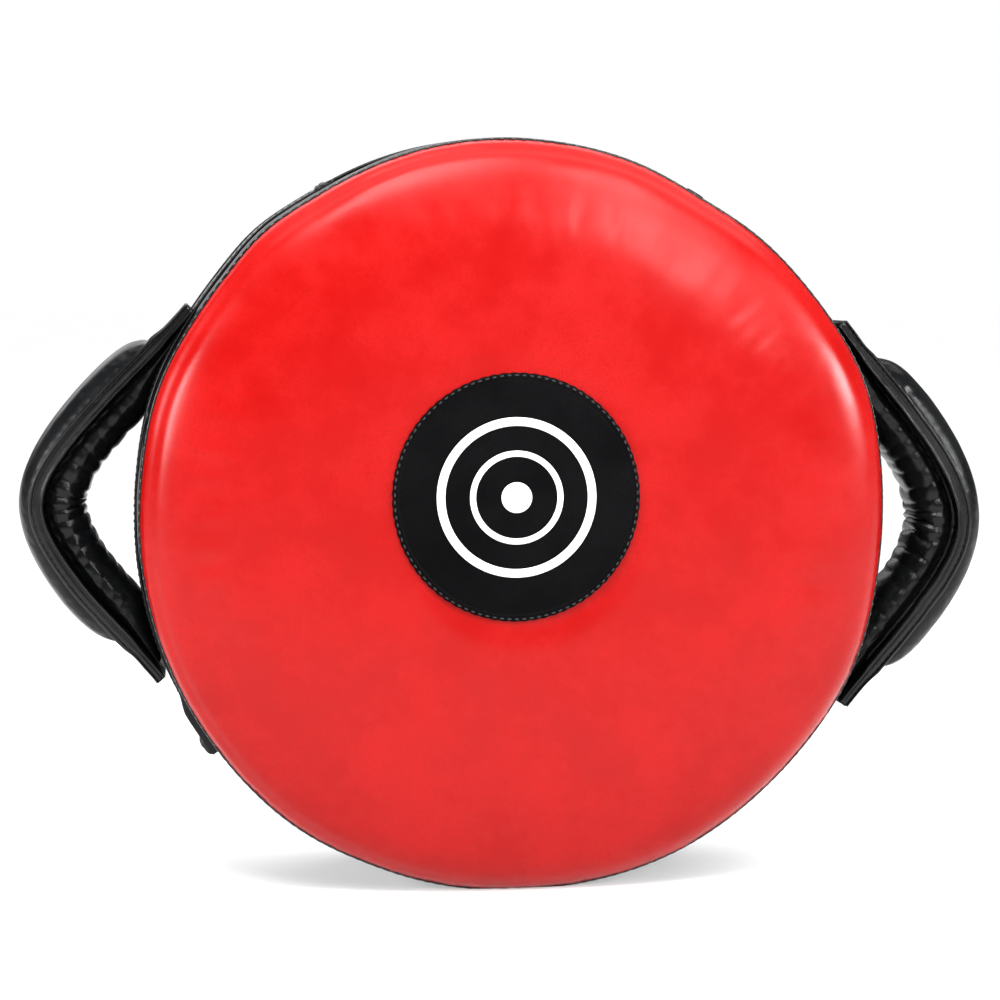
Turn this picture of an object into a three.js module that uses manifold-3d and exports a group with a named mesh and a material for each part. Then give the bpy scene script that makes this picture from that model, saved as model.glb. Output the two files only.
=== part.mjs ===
// A trainer's belly pad: a round, deep foam strike pad in a sewn cover, with a padded grip loop on each side.
//
// Millimetres, +Z up. The pad stands on its rim. Its axis runs along Y at the height AXIS_Z, the strike face
// looks along -Y, and the origin is on the floor under the middle of the pad. Angles around the axis are seen
// from the strike face: 0 degrees is +X (right), 90 is up.
import * as THREE from "three";
import { mergeVertices } from "three/addons/utils/BufferGeometryUtils.js";
import Module from "manifold-3d";

// ---- driving dimensions ----
const DEPTH = 150; // strike patch to back panel
const SEAM_R = 223.5; // the cover's radius at its front seam
const BELLY_R = 226; // the side band's radius between the seams
const FLOOR_SINK = 3; // how far the rim is pressed flat by the floor
const SKIN = 1.6; // thickness of the cover's leather
const GAP = 0.3; // air between neighbouring pieces
const FRONT_SEAM_Y = -43.3;
const BACK_SEAM_Y = 64;

const FACE_FLAT_R = 100; // the strike face is flat out to here, then falls to its shoulder
const PATCH_R = 72.5;
const PATCH_OFFSET = { x: -4, z: 16 }; // the patch is sewn a little above the middle
const PATCH_THICKNESS = 1.5;
const PATCH_BINDING = { radial: 2.2, proud: 0.6 };
const SEAM_BINDING = { radial: 2, along: 1.6 }; // half sizes of the rolled binding

const LOOP_Y = 8; // the grip loops' middle, along the pad's depth
const LOOP_REACH = 284; // the strap's outer face at the loop's furthest point, from the axis
const LOOP_BEND = { left: 37, right: 47 }; // the strap's bend radius there
const STRAP = { half: 30, thick: 4 };
const LOOP_STEP = 12; // every piece of a loop has its sections at multiples of this height
const LOOP_END = 91; // height where the free loop meets its sewn flaps
const FLAP_TIP = 112;
const LOOP_TURN = { left: 2.1, right: -1.5 }; // degrees round the rim; a negative one is below the middle
const LOOP_PAD = { height: 12.8, dip: 3.5, dipLength: 32, half: 27.6, shell: 1.9, foamEnd: 80 };
const GRIP = { thick: 10.8, half: 22, wall: 1.4, straight: 30, thin: 0.05, end: 67 }; // the roll, half sizes
const EDGE_BINDING = { inner: 30.3, outer: 32.5, over: 2.6, under: -4.6 };

const CARRIER = { half: 33, thick: 2.8, above: 62, below: 38 }; // degrees above and below the loop's middle
const CARRIER_TAB = { degrees: 2.6, thick: 2.6 };
const RIVET = { r: 2.6, head: 1.6, offset: 22 };

const ZIP_Y = 53;
const ZIP = { from: 25, to: 155, slotHalf: 5 };
const ZIP_LIP = { width: 3.6, thick: 2.4 };
const SLIDER = { at: 29, length: 13, half: 3.6 };
const PULL = { length: 25, half: 3, thick: 1.4 };

// ---- worked out from them ----
const AXIS_Z = BELLY_R - FLOOR_SINK;
const FRONT_Y = -DEPTH / 2 + PATCH_BINDING.proud + PATCH_THICKNESS + GAP;
const BACK_Y = DEPTH / 2;
const CARRIER_IN = BELLY_R + 0.6;
const CARRIER_OUT = CARRIER_IN + CARRIER.thick;
const ROUND = 48; // facets round the pad
const radians = THREE.MathUtils.degToRad;

// ---- solids ----
const wasm = await Module();
wasm.setup();

/** A closed geometry as a manifold-3d solid, turned right side out if its outline ran the other way. */
function solid(geometry) {
  const bare = geometry.index ? geometry.toNonIndexed() : geometry.clone();
  bare.deleteAttribute("normal");
  bare.deleteAttribute("uv");
  const merged = mergeVertices(bare, 1e-4);
  const triVerts = new Uint32Array(merged.index.array);
  const vertProperties = merged.attributes.position.array;
  const build = () => new wasm.Manifold(new wasm.Mesh({ numProp: 3, vertProperties, triVerts }));
  const made = build();
  if (made.volume() >= 0) return made;
  for (let i = 0; i < triVerts.length; i += 3)
    [triVerts[i + 1], triVerts[i + 2]] = [triVerts[i + 2], triVerts[i + 1]];
  return build();
}

/** A manifold-3d solid as a three.js geometry. */
function geometryOf(made) {
  const mesh = made.getMesh();
  const geometry = new THREE.BufferGeometry();
  geometry.setAttribute("position", new THREE.BufferAttribute(mesh.vertProperties, 3));
  geometry.setIndex(new THREE.BufferAttribute(mesh.triVerts, 1));
  geometry.computeVertexNormals();
  return geometry;
}

/** Turns a profile of [radius, y] points about the pad's axis. */
function turned(profile, facets = ROUND) {
  const points = profile.map(([r, y]) => new THREE.Vector2(r, y));
  return solid(new THREE.LatheGeometry(points, facets).translate(0, 0, AXIS_Z));
}

/** Turns a closed oval about the pad's axis: a rolled ring. */
function turnedRing(r, y, radial, along, facets = ROUND, corners = 6) {
  const oval = Array.from({ length: corners + 1 }, (_, i) => {
    const a = (2 * Math.PI * (i % corners)) / corners;
    return [r + radial * Math.cos(a), y + along * Math.sin(a)];
  });
  return turned(oval, facets);
}

/** A curved strip round the pad's axis, between two radii, two angles in degrees and two depths. */
function arcStrip(rIn, rOut, fromDegrees, toDegrees, yFrom, yTo) {
  const shape = new THREE.Shape();
  shape.absarc(0, 0, rOut, radians(fromDegrees), radians(toDegrees), false);
  shape.absarc(0, 0, rIn, radians(toDegrees), radians(fromDegrees), true);
  const curveSegments = Math.max(2, Math.ceil((toDegrees - fromDegrees) / 5));
  const depth = yTo - yFrom;
  const geometry = new THREE.ExtrudeGeometry(shape, { depth, bevelEnabled: false, curveSegments });
  return solid(geometry.rotateX(Math.PI / 2).translate(0, yTo, AXIS_Z));
}

/** What is left of a solid above a height. */
function above(made, height) {
  const size = 1000;
  const ground = new THREE.BoxGeometry(size, size, size).translate(0, 0, height - size / 2);
  return made.subtract(solid(ground));
}

/** Closes a row of equal rings of points into one body, with a fan over each end. */
function loft(rings) {
  const count = rings[0].length;
  const positions = rings.flat().flatMap((p) => [p.x, p.y, p.z]);
  const index = [];
  for (let i = 0; i + 1 < rings.length; i++)
    for (let j = 0; j < count; j++) {
      const [a, b] = [i * count + j, i * count + ((j + 1) % count)];
      index.push(a, b, a + count, b, b + count, a + count);
    }
  const last = (rings.length - 1) * count;
  for (let j = 1; j + 1 < count; j++) {
    index.push(0, j + 1, j);
    index.push(last, last + j, last + j + 1);
  }
  const geometry = new THREE.BufferGeometry();
  geometry.setAttribute("position", new THREE.Float32BufferAttribute(positions, 3));
  geometry.setIndex(index);
  return solid(geometry);
}

// ---- the grip loop's line ----

/** The strap's outer face at a height over the axis, and the way out: a smooth bend that straightens. */
function loopLine(side, height) {
  const bend = LOOP_BEND[side];
  const bent = Math.hypot(bend, height);
  const out = new THREE.Vector2(1, height / bent).normalize();
  return { x: LOOP_REACH + bend - bent, z: height, out };
}

/** A point of the loop: outward from the strap's outer face by n, and across the strap by y. */
function loopPoint(side, height, n, y) {
  const { x, z, out } = loopLine(side, height);
  return new THREE.Vector3(x + n * out.x, LOOP_Y + y, AXIS_Z + z + n * out.y);
}

/** Heights for a loop piece's sections, from -end to end on the common steps. */
function loopHeights(end) {
  const inner = Math.ceil(end / LOOP_STEP) - 1;
  const steps = Array.from({ length: 2 * inner + 1 }, (_, i) => (i - inner) * LOOP_STEP);
  return [-end, ...steps, end];
}

/** Sweeps a section along the loop. section(height) gives [n, y] corners. */
function alongLoop(side, end, section) {
  const ring = (height) => section(height).map(([n, y]) => loopPoint(side, height, n, y));
  return loft(loopHeights(end).map(ring));
}

const rectangle = (nLow, nHigh, yLow, yHigh) => [
  [nLow, yLow],
  [nLow, yHigh],
  [nHigh, yHigh],
  [nHigh, yLow],
];

/** Half an oval standing on n = base. */
function halfOval(base, height, half, parts = 8) {
  return Array.from({ length: parts + 1 }, (_, i) => {
    const a = (Math.PI * i) / parts;
    return [base + height * Math.sin(a), -half * Math.cos(a)];
  });
}

/** An oval whose top touches n = top. */
function oval(top, halfHeight, half, corners = 12) {
  return Array.from({ length: corners }, (_, i) => {
    const a = (2 * Math.PI * i) / corners;
    return [top - halfHeight + halfHeight * Math.cos(a), half * Math.sin(a)];
  });
}

// ---- materials ----
const material = (color, roughness, metalness = 0) =>
  new THREE.MeshStandardMaterial({ color, roughness, metalness });
const redLeather = material(0xd8201f, 0.38);
const blackLeather = material(0x111214, 0.42);
const patchLeather = material(0x0c0d0e, 0.5);
const blackBinding = material(0x0b0b0c, 0.55);
const denseFoam = material(0x3a3c40, 0.95);
const softFoam = material(0xd9d4c4, 0.95);
const webbing = material(0x141416, 0.8);
const zipTape = material(0x101012, 0.85);
const zipCoil = material(0x1b1b1e, 0.5);
const darkMetal = material(0x4a4b4e, 0.35, 1);

const model = new THREE.Group();
const place = (group, name, made, look) => {
  const mesh = new THREE.Mesh(geometryOf(made), look);
  mesh.name = name;
  group.add(mesh);
};

// ---- foam core and cover ----

/** The strike face's curve from the flat middle over the shoulder to the seam, moved inward by inset. */
function facePoints(inset) {
  const shoulder = new THREE.CubicBezierCurve(
    new THREE.Vector2(FACE_FLAT_R, FRONT_Y + inset),
    new THREE.Vector2(190, FRONT_Y + 1 + inset),
    new THREE.Vector2(SEAM_R - 4 - inset, FRONT_Y + 6 + inset),
    new THREE.Vector2(SEAM_R - inset, FRONT_SEAM_Y - SEAM_BINDING.along - GAP),
  );
  return [[0, FRONT_Y + inset], ...shoulder.getPoints(6).map((p) => [p.x, p.y])];
}

/** The back panel's curve from its middle over the edge to the back seam. */
function backPoints(inset) {
  const edge = new THREE.QuadraticBezierCurve(
    new THREE.Vector2(SEAM_R - 12, BACK_Y - inset),
    new THREE.Vector2(SEAM_R - inset, BACK_Y - inset),
    new THREE.Vector2(SEAM_R - inset, BACK_SEAM_Y + SEAM_BINDING.along + GAP),
  );
  return [[0, BACK_Y - inset], ...edge.getPoints(4).map((p) => [p.x, p.y])];
}

/** The side band's curve between the seams: it swells to BELLY_R. */
const bandPoints = (inset) => [
  [SEAM_R - inset, FRONT_SEAM_Y + SEAM_BINDING.along + GAP],
  [BELLY_R - inset, FRONT_SEAM_Y + 13],
  [BELLY_R - inset, BACK_SEAM_Y - 5.5],
  [SEAM_R + 1 - inset, BACK_SEAM_Y - SEAM_BINDING.along - GAP],
];

function addFoam() {
  const inset = SKIN + GAP;
  const seamR = SEAM_R - inset;
  const split = 10; // the two thick core discs meet here
  const [bandFront, bellyFront, bellyBack, bandBack] = bandPoints(inset);
  const face = facePoints(inset);
  const back = backPoints(inset);
  const strikeBack = FRONT_SEAM_Y - SEAM_BINDING.along - GAP;
  const backFront = BACK_SEAM_Y + SEAM_BINDING.along + GAP;
  const strike = [...face, [0, strikeBack]];
  const front = [
    [0, strikeBack + GAP],
    [seamR, strikeBack + GAP],
    bandFront,
    bellyFront,
    [bellyFront[0], split],
    [0, split],
  ];
  const rear = [
    [0, split + GAP],
    [bellyBack[0], split + GAP],
    bellyBack,
    bandBack,
    [seamR, backFront - GAP],
    [0, backFront - GAP],
  ];
  const rest = [...back, [0, backFront]];
  place(model, "strike_foam", above(turned(strike), inset), denseFoam);
  place(model, "core_foam_front", above(turned(front), inset), softFoam);
  place(model, "core_foam_rear", above(turned(rear), inset), softFoam);
  place(model, "back_foam", above(turned(rest), inset), denseFoam);
}

function addCover() {
  const shell = (points, inner) => above(turned([...points, ...inner.reverse()]), 0);
  place(model, "front_cover", shell(facePoints(0), facePoints(SKIN)), redLeather);
  place(model, "back_cover", shell(backPoints(0), backPoints(SKIN)), blackLeather);

  const [front, , , back] = bandPoints(0);
  const outside = above(turned([[0, front[1]], ...bandPoints(0), [0, back[1]]]), 0);
  const inside = above(turned([[0, front[1] - 1], ...bandPoints(SKIN), [0, back[1] + 1]]), SKIN);
  const { from, to, slotHalf } = ZIP;
  const slot = arcStrip(BELLY_R - 6, BELLY_R + 6, from, to, ZIP_Y - slotHalf, ZIP_Y + slotHalf);
  place(model, "side_band", outside.subtract(inside).subtract(slot), blackLeather);

  for (const [name, r, y] of [["front", SEAM_R, FRONT_SEAM_Y], ["back", SEAM_R + 0.5, BACK_SEAM_Y]]) {
    const roll = turnedRing(r + 0.5, y, SEAM_BINDING.radial, SEAM_BINDING.along);
    place(model, `${name}_seam_binding`, above(roll, 0), blackBinding);
  }
}

function addPatch() {
  const back = FRONT_Y - GAP;
  const front = back - PATCH_THICKNESS;
  const facets = 40;
  const bindingR = PATCH_R - PATCH_BINDING.radial + 0.6;
  const edge = bindingR - PATCH_BINDING.radial - GAP;
  const disc = turned([[0, back], [edge, back], [edge, front], [0, front]], facets);
  const half = (PATCH_THICKNESS + PATCH_BINDING.proud) / 2;
  const ring = turnedRing(bindingR, back - half, PATCH_BINDING.radial, half, facets);
  const moved = [PATCH_OFFSET.x, 0, PATCH_OFFSET.z];
  place(model, "target_patch", disc.translate(moved), patchLeather);
  place(model, "target_patch_binding", ring.translate(moved), blackBinding);
}

// ---- grip loops ----

/** The loop pad's height over the strap: thinner in the bend, full on the legs, tucked down at its ends. */
function padHeight(height) {
  const { height: full, dip, dipLength } = LOOP_PAD;
  const tuck = Math.sqrt(1 - (height / (LOOP_END + 6)) ** 4);
  return (full - dip * Math.exp(-((height / dipLength) ** 2))) * tuck;
}

/** The padded half of a loop: foam outside the strap, in a leather shell that is open to the strap. */
function addLoopPad(group, side) {
  const base = 0.4;
  const { half, shell, foamEnd } = LOOP_PAD;
  const foam = alongLoop(side, foamEnd - 0.5, (z) => halfOval(base, padHeight(z) - GAP, half - GAP));
  const space = alongLoop(side, foamEnd, (z) => [
    [base - 1, -half],
    ...halfOval(base, padHeight(z), half),
    [base - 1, half],
  ]);
  const outside = alongLoop(side, LOOP_END, (z) => halfOval(base, padHeight(z) + shell, half + shell));
  place(group, `${side}_loop_pad_foam`, foam, denseFoam);
  place(group, `${side}_loop_pad_cover`, outside.subtract(space), blackLeather);
}

/** The hand's half of a loop: a broad foam roll in a gathered leather tube, flatter towards its ends. */
function addGrip(group, side) {
  const top = -STRAP.thick - 0.4;
  const section = (inset) => (z) => {
    const past = Math.max(0, Math.abs(z) - GRIP.straight);
    return oval(top - inset, GRIP.thick - GRIP.thin * past - inset, GRIP.half - inset);
  };
  const tube = alongLoop(side, GRIP.end, section(0)).subtract(alongLoop(side, LOOP_END, section(GRIP.wall)));
  place(group, `${side}_grip_cover`, tube, blackLeather);
  place(group, `${side}_grip_foam`, alongLoop(side, GRIP.end, section(GRIP.wall + GAP)), softFoam);
}

/** The strap between the pad and the grip, and the leather bindings along its two edges. */
function addStrap(group, side) {
  const { half, thick } = STRAP;
  place(group, `${side}_strap`, alongLoop(side, LOOP_END, () => rectangle(-thick, 0, -half, half)), webbing);
  const { inner, outer, over, under } = EDGE_BINDING;
  const strip = (low, high) => alongLoop(side, LOOP_END, () => rectangle(under, over, low, high));
  place(group, `${side}_edge_binding_front`, strip(-outer, -inner), blackBinding);
  place(group, `${side}_edge_binding_rear`, strip(inner, outer), blackBinding);
}

/** A sewn end of the loop: its layers drawn together between the strap's line and the carrier band. */
function flap(side, sign) {
  const start = LOOP_END + 1;
  const steps = 4;
  const heights = Array.from({ length: steps + 1 }, (_, i) => start + ((FLAP_TIP - start) * i) / steps);
  const foot = CARRIER_OUT + 0.4;
  const rings = heights.map((height) => {
    const top = loopLine(side, height);
    // Down the way in from the strap's face to the circle of the carrier band.
    const along = top.x * top.out.x + top.z * top.out.y;
    const down = along - Math.sqrt(along ** 2 - (top.x ** 2 + top.z ** 2 - foot ** 2));
    return rectangle(-down, 0, -STRAP.half, STRAP.half).map(([n, y]) => {
      const p = loopPoint(side, height, n, y);
      return new THREE.Vector3(p.x, p.y, AXIS_Z + sign * (p.z - AXIS_Z));
    });
  });
  return loft(rings);
}

/** The band that carries a loop round the side of the pad, with a folded tab and two rivets at each end. */
function addCarrier(group, side) {
  const { half, above: up, below } = CARRIER;
  const yFrom = LOOP_Y - half;
  const yTo = LOOP_Y + half;
  const band = arcStrip(CARRIER_IN, CARRIER_OUT, -below, up, yFrom, yTo);
  place(group, `${side}_carrier_band`, band, blackLeather);
  const foot = CARRIER_OUT + 0.4;
  const tabs = [["upper", up - CARRIER_TAB.degrees - 0.4], ["lower", -below + 0.4]];
  for (const [end, from] of tabs) {
    const to = from + CARRIER_TAB.degrees;
    const tab = arcStrip(foot, foot + CARRIER_TAB.thick, from, to, yFrom + 1, yTo - 1);
    place(group, `${side}_${end}_carrier_tab`, tab, blackBinding);
    const middle = radians((from + to) / 2);
    for (const [where, y] of [["front", LOOP_Y - RIVET.offset], ["rear", LOOP_Y + RIVET.offset]]) {
      const head = new THREE.CylinderGeometry(RIVET.r * 0.6, RIVET.r, RIVET.head, 12);
      head.translate(0, foot + CARRIER_TAB.thick + GAP + RIVET.head / 2, 0).rotateZ(-Math.PI / 2);
      head.rotateY(-middle).translate(0, y, AXIS_Z);
      place(group, `${side}_${end}_${where}_rivet`, solid(head), darkMetal);
    }
  }
}

function addLoop(side) {
  const group = new THREE.Group();
  if (side === "left") group.scale.x = -1;
  model.add(group);
  addCarrier(group, side);
  // The loop itself is turned about the pad's axis.
  const turn = radians(LOOP_TURN[side]);
  const loop = new THREE.Group();
  loop.rotation.y = -turn;
  loop.position.set(AXIS_Z * Math.sin(turn), 0, AXIS_Z * (1 - Math.cos(turn)));
  group.add(loop);
  addLoopPad(loop, side);
  addGrip(loop, side);
  addStrap(loop, side);
  place(loop, `${side}_upper_flap`, flap(side, 1), blackLeather);
  place(loop, `${side}_lower_flap`, flap(side, -1), blackLeather);
}

// ---- closing zip, over the top beside the back seam ----

function addZip() {
  const { from, to, slotHalf } = ZIP;
  const tapeIn = BELLY_R - SKIN;
  const tapeOut = tapeIn + 0.8;
  const coilIn = tapeOut + GAP;
  const coilOut = coilIn + 1.8;
  const coilWidth = 1.7;
  const clear = 0.2; // half the gap where the two rows of the coil meet
  const lipIn = BELLY_R + 0.6;
  const end = 0.4; // degrees left free at each end of the slot
  for (const [side, sign] of [["front", -1], ["rear", 1]]) {
    const strip = (rIn, rOut, near, far, spare) => {
      const [a, b] = [ZIP_Y + sign * near, ZIP_Y + sign * far];
      return arcStrip(rIn, rOut, from + spare, to - spare, Math.min(a, b), Math.max(a, b));
    };
    place(model, `zip_tape_${side}`, strip(tapeIn + 0.1, tapeOut, clear, slotHalf - GAP, end), zipTape);
    place(model, `zip_coil_${side}`, strip(coilIn, coilOut, clear, clear + coilWidth, end), zipCoil);
    const lipFrom = slotHalf + GAP;
    const lip = strip(lipIn, lipIn + ZIP_LIP.thick, lipFrom, lipFrom + ZIP_LIP.width, 0);
    place(model, `zip_lip_${side}`, lip, blackLeather);
  }
  for (const [name, at] of [["right", from - 2.7], ["left", to + 0.4]]) {
    const tab = arcStrip(lipIn, lipIn + 2, at, at + 2.3, ZIP_Y - slotHalf - 3, ZIP_Y + slotHalf + 3);
    place(model, `zip_end_tab_${name}`, tab, blackBinding);
  }
  addSlider(coilOut + 0.6, tapeOut + 0.5, clear + coilWidth + 0.5);
}

/** The slider over the coil, the pull and its pin. Built at the top of the pad, then turned into place. */
function addSlider(plateIn, flangeIn, coilHalf) {
  const box = (length, rIn, rOut, yFrom, yTo, shift = 0) => {
    const block = new THREE.BoxGeometry(length, yTo - yFrom, rOut - rIn);
    return solid(block.translate(shift, (yFrom + yTo) / 2, (rIn + rOut) / 2));
  };
  const rod = (r, rAt, halfLength) =>
    solid(new THREE.CylinderGeometry(r, r, 2 * halfLength, 12).translate(0, 0, rAt));
  const plateOut = plateIn + 1.6;
  const pinAt = plateOut + 1.5;
  const pinR = 0.6;
  const ears = { near: 1.9, far: 2.9 };
  let body = box(SLIDER.length, plateIn, plateOut, -SLIDER.half, SLIDER.half);
  for (const sign of [-1, 1]) {
    const flange = [sign * coilHalf, sign * SLIDER.half].sort((a, b) => a - b);
    const ear = [sign * ears.near, sign * ears.far].sort((a, b) => a - b);
    body = body.add(box(SLIDER.length, flangeIn, plateIn + 0.1, ...flange));
    body = body.add(box(3.6, plateOut - 0.1, pinAt + 1.4, ...ear));
  }
  body = body.subtract(rod(pinR + 0.2, pinAt, ears.far + 1));
  const eye = rod(1.3, pinAt, ears.near - 0.3);
  const stem = box(3, pinAt - 0.6, pinAt + 0.6, -1.5, 1.5, 2);
  const { length, thick, half } = PULL;
  const tag = box(length - 3, pinAt - thick / 2, pinAt + thick / 2, -half, half, 3 + (length - 3) / 2);
  const pull = eye.add(stem).add(tag).subtract(rod(pinR + 0.2, pinAt, ears.far + 1));
  const group = new THREE.Group();
  group.position.set(0, ZIP_Y, AXIS_Z);
  group.rotation.y = radians(90 - SLIDER.at);
  model.add(group);
  place(group, "zip_slider", body, darkMetal);
  place(group, "zip_pull", pull, darkMetal);
  place(group, "zip_pull_pin", rod(pinR, pinAt, ears.far), darkMetal);
}

addFoam();
addCover();
addPatch();
addLoop("left");
addLoop("right");
addZip();

export default model;
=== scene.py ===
"""The looks of a trainer's belly pad: a round strike pad with a padded grip loop on each side.

Metres, +Z up. The pad stands on its rim, its axis runs along Y, and its strike face looks along -Y. Angles
round the rim are seen from the strike face: 0 is +X, on the right, and 90 degrees is up. The CAD model gives
the places and sizes.
"""

import math
from dataclasses import dataclass

import bmesh
import bpy
import numpy as np
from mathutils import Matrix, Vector, noise


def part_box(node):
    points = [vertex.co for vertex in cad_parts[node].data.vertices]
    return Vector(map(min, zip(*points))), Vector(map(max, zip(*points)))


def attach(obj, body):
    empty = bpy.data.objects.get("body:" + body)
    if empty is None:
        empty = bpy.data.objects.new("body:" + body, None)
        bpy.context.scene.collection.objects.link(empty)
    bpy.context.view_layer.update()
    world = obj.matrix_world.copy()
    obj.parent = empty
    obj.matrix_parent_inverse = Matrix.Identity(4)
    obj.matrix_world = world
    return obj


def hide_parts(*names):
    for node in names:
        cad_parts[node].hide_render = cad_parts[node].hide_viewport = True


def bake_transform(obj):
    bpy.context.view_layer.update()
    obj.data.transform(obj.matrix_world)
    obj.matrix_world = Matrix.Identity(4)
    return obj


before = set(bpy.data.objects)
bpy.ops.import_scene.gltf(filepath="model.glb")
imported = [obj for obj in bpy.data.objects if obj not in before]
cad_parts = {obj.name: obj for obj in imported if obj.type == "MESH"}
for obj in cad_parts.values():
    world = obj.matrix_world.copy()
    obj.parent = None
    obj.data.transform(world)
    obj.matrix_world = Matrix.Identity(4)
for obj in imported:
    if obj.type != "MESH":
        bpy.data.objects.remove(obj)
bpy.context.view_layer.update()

MM = 0.001
BODY = "pad"
ALONG = np.array([0.0, 1.0, 0.0])  # the way along the pad's axis, to the rear

# ---- sizes taken from the frame ----
band_low, band_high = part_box("side_band")
face_low, face_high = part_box("front_cover")
back_low, back_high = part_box("back_cover")
patch_low, patch_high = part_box("target_patch")
ring_low, ring_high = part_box("target_patch_binding")
strap_low, strap_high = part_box("right_strap")
carrier_low, carrier_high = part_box("right_carrier_band")

BELLY_R = band_high.x
AXIS_Z = band_high.z - BELLY_R
SEAM_R = face_high.x
FACE_Y = face_low.y
FRONT_SEAM_Y = (face_high.y + band_low.y) / 2
BACK_SEAM_Y = (band_high.y + back_low.y) / 2
BACK_Y = back_high.y
LOOP_REACH = strap_high.x
LOOP_Y = (strap_low.y + strap_high.y) / 2
STRAP_HALF = (strap_high.y - strap_low.y) / 2
CARRIER_R = carrier_high.x - 2.0 * MM  # drawn in by its stitches
PATCH = Vector(((patch_low.x + patch_high.x) / 2, 0, (patch_low.z + patch_high.z) / 2))
PATCH_R = (ring_high.x - ring_low.x) / 2

# ---- sizes of the soft forms ----
SKIN = 1.4 * MM
STRAP_THICK = 4 * MM
ZIP_Y = 53 * MM
ZIP_FROM, ZIP_TO = 25, 155  # degrees
ZIP_SLOT = 5 * MM
FLAT_R = 100 * MM  # the middle of the strike face is flat out to here
FLAP = 21 * MM  # the length of a loop's sewn ends
STITCH = 6.4 * MM
THREAD_R = 0.45 * MM
BINDING_HALF = 1.9 * MM  # half the width of the tape over a seam
CLOTH_FRAMES = 16
# Slow waves round the rim: how many, how high, and the angle of a crest.
RIM_WAVES = ((2, 0.7 * MM, 105), (3, 0.7 * MM, 112), (5, 0.55 * MM, 24), (8, 0.3 * MM, 240))
# Places where the rim swells or is drawn in: the angle in degrees, how far round it reaches, and how much.
RIM_SWELLS = ((22, 11, 2.6 * MM), (60, 9, -2.6 * MM), (131, 7, 2.4 * MM), (160, 9, 1.6 * MM),
              (246, 9, -1.4 * MM), (296, 14, 1.4 * MM), (337, 12, 2.0 * MM))


# ---- number tools ----
def smoothstep(low, high, value):
    share = np.clip((np.asarray(value, float) - low) / (high - low), 0.0, 1.0)
    return share * share * (3.0 - 2.0 * share)


def bump(value, centre, width):
    return np.exp(-(((np.asarray(value, float) - centre) / width) ** 2))


def noise_at(points, size, seed=0):
    """Smooth noise from about -1 to 1 at each point, with features of a size in metres."""
    shift = Vector((seed * 3.7, -seed * 1.9, seed * 5.3))
    flat = np.asarray(points, float).reshape(-1, 3) / size
    values = [noise.noise(Vector(p) + shift) for p in flat]
    return np.array(values).reshape(np.asarray(points).shape[:-1])


def rim_wave(angle):
    wave = sum(height * np.cos(count * (angle - math.radians(crest))) for count, height, crest in RIM_WAVES)
    degrees = np.degrees(angle) % 360
    return wave + sum(height * bump(degrees, at, reach) for at, reach, height in RIM_SWELLS)


def round_pad(radius, angle, y):
    """Points at a radius and angle round the pad's axis, waved with the rim and pressed flat by the floor."""
    radius, angle, y = np.broadcast_arrays(*(np.asarray(v, float) for v in (radius, angle, y)))
    waved = radius + rim_wave(angle) * smoothstep(0.6 * SEAM_R, SEAM_R, radius)
    z = np.maximum(AXIS_Z + waved * np.sin(angle), 0.0)
    return np.stack([waved * np.cos(angle), y, z], axis=-1)


def turn_angles(count):
    return np.linspace(0, 2 * math.pi, count, endpoint=False)


def spoke(angle):
    """The way out from the pad's axis at an angle."""
    return np.stack([np.cos(angle), 0 * angle, np.sin(angle)], axis=-1)


def travel(points):
    """How far along a line each of its points lies."""
    return np.concatenate([[0], np.cumsum(np.linalg.norm(np.diff(points, axis=0), axis=1))])


def rounded(wave, power):
    """A sine or cosine made fuller (a power under 1) or leaner, with its sign kept."""
    return np.sign(wave) * np.abs(wave) ** power


def bezier(corners, count):
    """Evenly timed points of a Bezier curve through its corner points."""
    t = np.linspace(0, 1, count)[:, None]
    last = len(corners) - 1
    return sum(math.comb(last, k) * (1 - t) ** (last - k) * t**k * np.array(c) for k, c in enumerate(corners))


# ---- mesh tools ----
def new_object(name, points, faces, material):
    mesh = bpy.data.meshes.new(name)
    mesh.from_pydata(np.asarray(points, float).reshape(-1, 3).tolist(), [], faces)
    mesh.validate()
    mesh.materials.append(material)
    mesh.shade_smooth()
    made = bpy.data.objects.new(name, mesh)
    bpy.context.scene.collection.objects.link(made)
    return made


def grid_faces(rows, columns, wrap_rows=False, wrap_columns=False, keep=None, start=0):
    faces = []
    for i in range(rows if wrap_rows else rows - 1):
        for j in range(columns if wrap_columns else columns - 1):
            if keep is not None and not keep(i, j):
                continue
            k, m = (i + 1) % rows, (j + 1) % columns
            faces.append(tuple(start + a * columns + b for a, b in ((i, j), (k, j), (k, m), (i, m))))
    return faces


def turn_out(made):
    """Makes a closed or nearly closed mesh's normals point out."""
    edit = bmesh.new()
    edit.from_mesh(made.data)
    bmesh.ops.recalc_face_normals(edit, faces=edit.faces)
    edit.to_mesh(made.data)
    edit.free()
    made.data.shade_smooth()
    return made


def face_out(made):
    """Turns the normals of an open surface away from the middle of the pad."""
    made.data.update()
    middle = Vector((0, 0, AXIS_Z))
    if sum(face.area * face.normal.dot(face.center - middle) for face in made.data.polygons) < 0:
        made.data.flip_normals()
    return made


def dome(name, grid, material):
    """A surface of rings round one point, which stands where the first ring would be."""
    rows, count = len(grid) - 1, grid.shape[1]
    pole = rows * count
    faces = grid_faces(rows, count, wrap_columns=True)
    faces += [(pole, j, (j + 1) % count) for j in range(count)]
    return face_out(new_object(name, np.vstack([grid[1:].reshape(-1, 3), grid[0].mean(0)]), faces, material))


def thicken(made):
    solid = made.modifiers.new("thickness", "SOLIDIFY")
    solid.thickness = SKIN
    solid.offset = -1


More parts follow.
